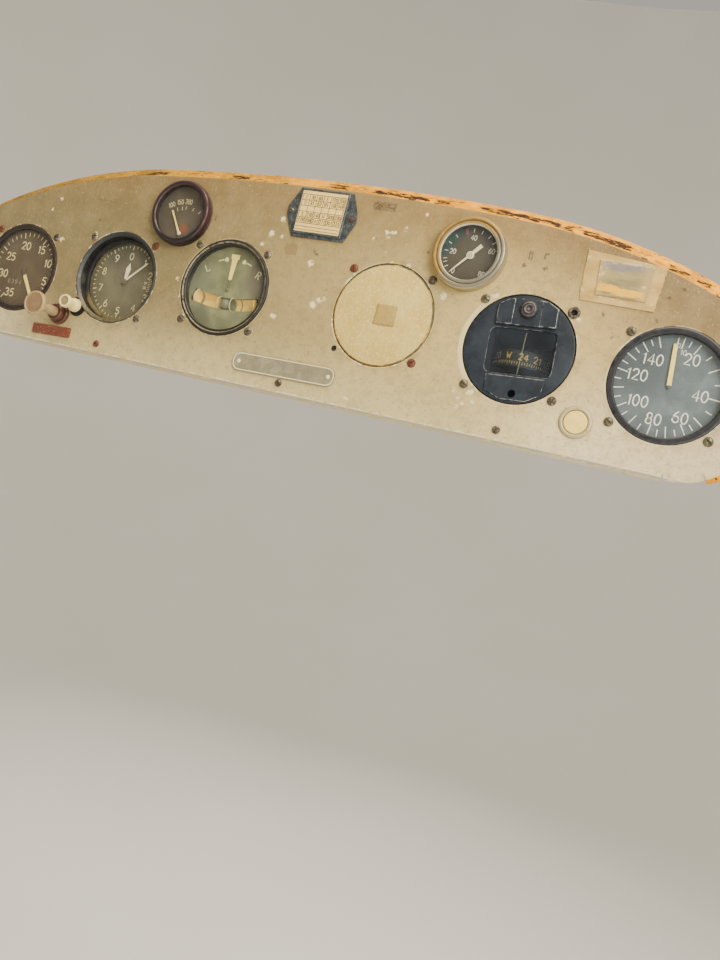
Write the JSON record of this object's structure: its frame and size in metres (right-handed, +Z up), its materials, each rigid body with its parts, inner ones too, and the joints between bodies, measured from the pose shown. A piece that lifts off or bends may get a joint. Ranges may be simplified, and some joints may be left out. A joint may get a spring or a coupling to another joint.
{
  "type": "aircraft instrument panel",
  "caption": "Bent sheet instrument panel of a high-wing light aircraft, with round dial instruments, a liquid compass face, a heat pull control, a set knob and blank placards.",
  "frame": {"origin": "middle of the flat underside of the lower return flange, on the panel's centreline", "axes": "+X to the right as the pilot sees the panel, +Y forward and away from the pilot, +Z up"},
  "size_m": [0.6862, 0.169, 0.176],
  "materials": {
    "panel_paint": "beige khaki paint, chipped and mottled",
    "case_black": "black crackle paint",
    "bezel_black": "worn satin black",
    "glass": "clear, dusty",
    "dial_dark": "matt, faded",
    "dial_grey": "matt grey green, faded",
    "hand_cream": "aged luminous paint",
    "knob_cream": "worn to bare metal",
    "ball_black": "glossy",
    "disc_cream": "cream paint with a brown edge",
    "compass_navy": "dusty blue black",
    "bezel_purple": "dark purple brown, scuffed",
    "bezel_tan": "dull plating worn through",
    "steel": "dull with light rust",
    "bushing_red": "dark red brown",
    "knob_faded": "faded pinkish brown with a pale rim",
    "holder_metal": "dark blue grey, scratched",
    "paper": "aged",
    "placard_grey": "etched, blank",
    "placard_red": "faded red brown, blank",
    "tape": "yellowed clear tape",
    "plug_yellow": "yellowed"
  },
  "bodies": {
    "panel": {"panel_sheet": "panel_paint", "tachometer_case": "case_black", "tachometer_bezel": "bezel_black", "tachometer_glass": "glass", "tachometer_dial": "dial_dark", "altimeter_case": "case_black", "altimeter_bezel": "bezel_black", "altimeter_retaining_ring": "bezel_black", "altimeter_glass": "glass", "altimeter_dial": "dial_dark", "turn_indicator_case": "case_black", "turn_indicator_bezel": "bezel_black", "turn_indicator_glass": "glass", "turn_indicator_dial": "dial_grey", "turn_indicator_slip_tube": "glass", "airspeed_indicator_case": "case_black", "airspeed_indicator_bezel": "bezel_black", "airspeed_indicator_glass": "glass", "airspeed_indicator_dial": "dial_dark", "blanking_disc": "disc_cream", "compass_case": "compass_navy", "compass_window": "glass", "compass_lamp_cap": "bezel_black", "oil_temperature_case": "case_black", "oil_temperature_bezel": "bezel_purple", "oil_temperature_glass": "glass", "oil_temperature_dial": "dial_dark", "oil_temperature_strap": "steel", "oil_pressure_case": "case_black", "oil_pressure_bezel": "bezel_tan", "oil_pressure_glass": "glass", "oil_pressure_dial": "dial_dark", "oil_pressure_strap": "steel", "heat_bushing": "bushing_red", "heat_rear_nut": "steel", "heat_conduit_ferrule": "steel", "card_holder": "holder_metal", "card": "paper", "limit_placard": "placard_grey", "heat_placard": "placard_red", "tape_patch": "tape", "tape_note": "paper", "port_ring": "panel_paint", "port_plug": "plug_yellow"},
    "heat_pull": {"heat_pull": "knob_faded"},
    "set_knob": {"altimeter_set_knob": "knob_cream"},
    "tachometer_hand": {"tachometer_hand": "hand_cream"},
    "altimeter_long_hand": {"altimeter_long_hand": "hand_cream"},
    "altimeter_short_hand": {"altimeter_short_hand": "hand_cream"},
    "turn_needle": {"turn_indicator_needle": "hand_cream"},
    "slip_ball": {"turn_indicator_slip_ball": "ball_black"},
    "airspeed_hand": {"airspeed_indicator_hand": "hand_cream"},
    "oil_temperature_hand": {"oil_temperature_hand": "hand_cream"},
    "oil_pressure_hand": {"oil_pressure_hand": "hand_cream"},
    "compass_card": {"compass_card": "dial_dark"}
  },
  "joints": [
    {"name": "heat_pull_slide", "type": "slide", "parent": "panel", "child": "heat_pull", "axis": [0, 1, 0], "range_m": [-0.032, 0.016]},
    {"name": "set_knob_turn", "type": "hinge", "parent": "panel", "child": "set_knob", "pos_m": [-0.204, -0.012, 0.037], "axis": [0, 1, 0], "continuous": true},
    {"name": "tachometer_hand_turn", "type": "hinge", "parent": "panel", "child": "tachometer_hand", "pos_m": [-0.276, -0.004, 0.0616], "axis": [0, 1, 0], "range_deg": [-303, 0]},
    {"name": "altimeter_long_hand_turn", "type": "hinge", "parent": "panel", "child": "altimeter_long_hand", "pos_m": [-0.1735, 0.0035, 0.0678], "axis": [0, 1, 0], "continuous": true},
    {"name": "altimeter_short_hand_turn", "type": "hinge", "parent": "panel", "child": "altimeter_short_hand", "pos_m": [-0.1735, 0.0045, 0.0678], "axis": [0, 1, 0], "continuous": true},
    {"name": "turn_needle_swing", "type": "hinge", "parent": "panel", "child": "turn_needle", "pos_m": [-0.0688, -0.0025, 0.0751], "axis": [0, 1, 0], "range_deg": [-25, 25], "stiffness_Nm_per_rad": 0.001},
    {"name": "slip_ball_roll", "type": "hinge", "parent": "panel", "child": "slip_ball", "pos_m": [-0.0688, 0.0009, 0.1815], "axis": [0, 1, 0], "range_deg": [-11, 11]},
    {"name": "airspeed_hand_turn", "type": "hinge", "parent": "panel", "child": "airspeed_hand", "pos_m": [0.276, -0.004, 0.0616], "axis": [0, 1, 0], "range_deg": [0, 343]},
    {"name": "oil_temperature_hand_turn", "type": "hinge", "parent": "panel", "child": "oil_temperature_hand", "pos_m": [-0.123, -0.0085, 0.1128], "axis": [0, 1, 0], "range_deg": [0, 64]},
    {"name": "oil_pressure_hand_turn", "type": "hinge", "parent": "panel", "child": "oil_pressure_hand", "pos_m": [0.123, -0.0085, 0.1288], "axis": [0, 1, 0], "range_deg": [0, 277]},
    {"name": "compass_card_turn", "type": "hinge", "parent": "panel", "child": "compass_card", "pos_m": [0.1735, 0.023, 0.06], "axis": [0, 0, 1], "continuous": true}
  ],
  "couplings": [
    {"joint": "altimeter_short_hand_turn", "follows": "altimeter_long_hand_turn", "ratio": 0.1}
  ]
}
